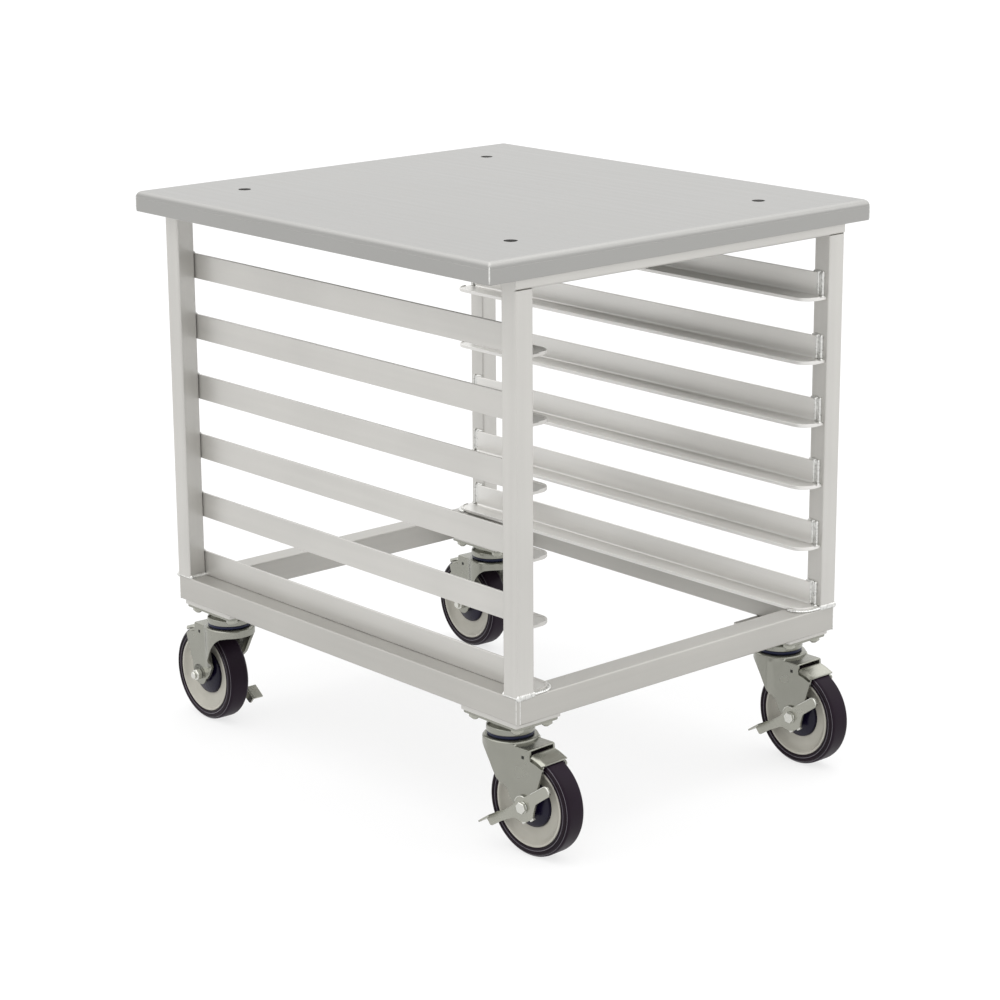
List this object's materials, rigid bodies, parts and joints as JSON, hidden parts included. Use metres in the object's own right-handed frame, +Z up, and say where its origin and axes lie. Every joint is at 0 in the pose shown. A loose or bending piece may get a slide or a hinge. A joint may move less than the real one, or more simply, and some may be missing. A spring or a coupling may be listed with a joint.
{
  "type": "sheet pan rack",
  "caption": "Low mobile rack that carries sheet pans on pairs of slides under a flat top, on swivel casters with side-lever brakes.",
  "frame": {"origin": "on the floor, under the middle of the rack", "axes": "+X along the open end, towards the viewer's right; +Y along the pan slides, from the front end to the back; +Z up"},
  "size_m": [0.6096, 0.7585, 0.703],
  "materials": {
    "frame_aluminium": "satin mill",
    "top_stainless": "satin",
    "caster_zinc": "zinc plated",
    "swivel_seal": "moulded",
    "wheel_core": "moulded",
    "tyre": "semi-gloss"
  },
  "bodies": {
    "rack": {"top_sheet": "top_stainless", "top_rail_front": "frame_aluminium", "base_rail_front": "frame_aluminium", "leg_front_left": "frame_aluminium", "leg_front_right": "frame_aluminium", "top_rail_back": "frame_aluminium", "base_rail_back": "frame_aluminium", "leg_back_left": "frame_aluminium", "leg_back_right": "frame_aluminium", "base_rail_left": "frame_aluminium", "slide_left_1": "frame_aluminium", "slide_left_2": "frame_aluminium", "slide_left_3": "frame_aluminium", "slide_left_4": "frame_aluminium", "slide_left_5": "frame_aluminium", "slide_left_6": "frame_aluminium", "base_rail_right": "frame_aluminium", "slide_right_1": "frame_aluminium", "slide_right_2": "frame_aluminium", "slide_right_3": "frame_aluminium", "slide_right_4": "frame_aluminium", "slide_right_5": "frame_aluminium", "slide_right_6": "frame_aluminium", "caster_pad_front_left": "frame_aluminium", "caster_plate_front_left": "caster_zinc", "swivel_seal_front_left": "swivel_seal", "caster_pad_front_right": "frame_aluminium", "caster_plate_front_right": "caster_zinc", "swivel_seal_front_right": "swivel_seal", "caster_pad_back_left": "frame_aluminium", "caster_plate_back_left": "caster_zinc", "swivel_seal_back_left": "swivel_seal", "caster_pad_back_right": "frame_aluminium", "caster_plate_back_right": "caster_zinc", "swivel_seal_back_right": "swivel_seal"},
    "swivel_front_left": {"fork_front_left": "caster_zinc", "axle_bolt_front_left": "caster_zinc"},
    "wheel_front_left": {"wheel_core_front_left": "wheel_core", "tyre_front_left": "tyre"},
    "lever_front_left": {"brake_lever_front_left": "caster_zinc"},
    "shoe_front_left": {"brake_shoe_front_left": "caster_zinc"},
    "swivel_front_right": {"fork_front_right": "caster_zinc", "axle_bolt_front_right": "caster_zinc"},
    "wheel_front_right": {"wheel_core_front_right": "wheel_core", "tyre_front_right": "tyre"},
    "lever_front_right": {"brake_lever_front_right": "caster_zinc"},
    "shoe_front_right": {"brake_shoe_front_right": "caster_zinc"},
    "swivel_back_left": {"fork_back_left": "caster_zinc", "axle_bolt_back_left": "caster_zinc"},
    "wheel_back_left": {"wheel_core_back_left": "wheel_core", "tyre_back_left": "tyre"},
    "lever_back_left": {"brake_lever_back_left": "caster_zinc"},
    "shoe_back_left": {"brake_shoe_back_left": "caster_zinc"},
    "swivel_back_right": {"fork_back_right": "caster_zinc", "axle_bolt_back_right": "caster_zinc"},
    "wheel_back_right": {"wheel_core_back_right": "wheel_core", "tyre_back_right": "tyre"},
    "lever_back_right": {"brake_lever_back_right": "caster_zinc"},
    "shoe_back_right": {"brake_shoe_back_right": "caster_zinc"}
  },
  "joints": [
    {"name": "caster_swivel_front_left", "type": "hinge", "parent": "rack", "child": "swivel_front_left", "pos_m": [-0.2256, -0.2742, 0.139], "axis": [0, 0, 1], "continuous": true},
    {"name": "wheel_spin_front_left", "type": "hinge", "parent": "swivel_front_left", "child": "wheel_front_left", "pos_m": [-0.22267, -0.3161, 0.0625], "axis": [0.9976, 0.0698, 0], "continuous": true},
    {"name": "brake_lever_turn_front_left", "type": "hinge", "parent": "swivel_front_left", "child": "lever_front_left", "pos_m": [-0.22267, -0.3161, 0.0625], "axis": [0.9976, 0.0698, 0], "range_deg": [0, 40]},
    {"name": "brake_shoe_turn_front_left", "type": "hinge", "parent": "swivel_front_left", "child": "shoe_front_left", "pos_m": [-0.22284, -0.3136, 0.1215], "axis": [0.9976, 0.0698, 0], "range_deg": [0, 1.8]},
    {"name": "caster_swivel_front_right", "type": "hinge", "parent": "rack", "child": "swivel_front_right", "pos_m": [0.2256, -0.2742, 0.139], "axis": [0, 0, 1], "continuous": true},
    {"name": "wheel_spin_front_right", "type": "hinge", "parent": "swivel_front_right", "child": "wheel_front_right", "pos_m": [0.22589, -0.3162, 0.0625], "axis": [1, 0.007, 0], "continuous": true},
    {"name": "brake_lever_turn_front_right", "type": "hinge", "parent": "swivel_front_right", "child": "lever_front_right", "pos_m": [0.22589, -0.3162, 0.0625], "axis": [1, 0.007, 0], "range_deg": [0, 40]},
    {"name": "brake_shoe_turn_front_right", "type": "hinge", "parent": "swivel_front_right", "child": "shoe_front_right", "pos_m": [0.22588, -0.3137, 0.1215], "axis": [1, 0.007, 0], "range_deg": [0, 1.8]},
    {"name": "caster_swivel_back_left", "type": "hinge", "parent": "rack", "child": "swivel_back_left", "pos_m": [-0.2256, 0.2742, 0.139], "axis": [0, 0, 1], "continuous": true},
    {"name": "wheel_spin_back_left", "type": "hinge", "parent": "swivel_back_left", "child": "wheel_back_left", "pos_m": [-0.22457, 0.31619, 0.0625], "axis": [-0.9997, 0.0244, 0], "continuous": true},
    {"name": "brake_lever_turn_back_left", "type": "hinge", "parent": "swivel_back_left", "child": "lever_back_left", "pos_m": [-0.22457, 0.31619, 0.0625], "axis": [-0.9997, 0.0244, 0], "range_deg": [0, 40]},
    {"name": "brake_shoe_turn_back_left", "type": "hinge", "parent": "swivel_back_left", "child": "shoe_back_left", "pos_m": [-0.22464, 0.31369, 0.1215], "axis": [-0.9997, 0.0244, 0], "range_deg": [0, 1.8]},
    {"name": "caster_swivel_back_right", "type": "hinge", "parent": "rack", "child": "swivel_back_right", "pos_m": [0.2256, 0.2742, 0.139], "axis": [0, 0, 1], "continuous": true},
    {"name": "wheel_spin_back_right", "type": "hinge", "parent": "swivel_back_right", "child": "wheel_back_right", "pos_m": [0.22795, 0.31613, 0.0625], "axis": [-0.9984, 0.0558, 0], "continuous": true},
    {"name": "brake_lever_turn_back_right", "type": "hinge", "parent": "swivel_back_right", "child": "lever_back_right", "pos_m": [0.22795, 0.31613, 0.0625], "axis": [-0.9984, 0.0558, 0], "range_deg": [0, 40]},
    {"name": "brake_shoe_turn_back_right", "type": "hinge", "parent": "swivel_back_right", "child": "shoe_back_right", "pos_m": [0.22781, 0.31364, 0.1215], "axis": [-0.9984, 0.0558, 0], "range_deg": [0, 1.8]}
  ],
  "couplings": [
    {"joint": "brake_shoe_turn_front_left", "follows": "brake_lever_turn_front_left", "ratio": 0.045},
    {"joint": "brake_shoe_turn_front_right", "follows": "brake_lever_turn_front_right", "ratio": 0.045},
    {"joint": "brake_shoe_turn_back_left", "follows": "brake_lever_turn_back_left", "ratio": 0.045},
    {"joint": "brake_shoe_turn_back_right", "follows": "brake_lever_turn_back_right", "ratio": 0.045}
  ]
}
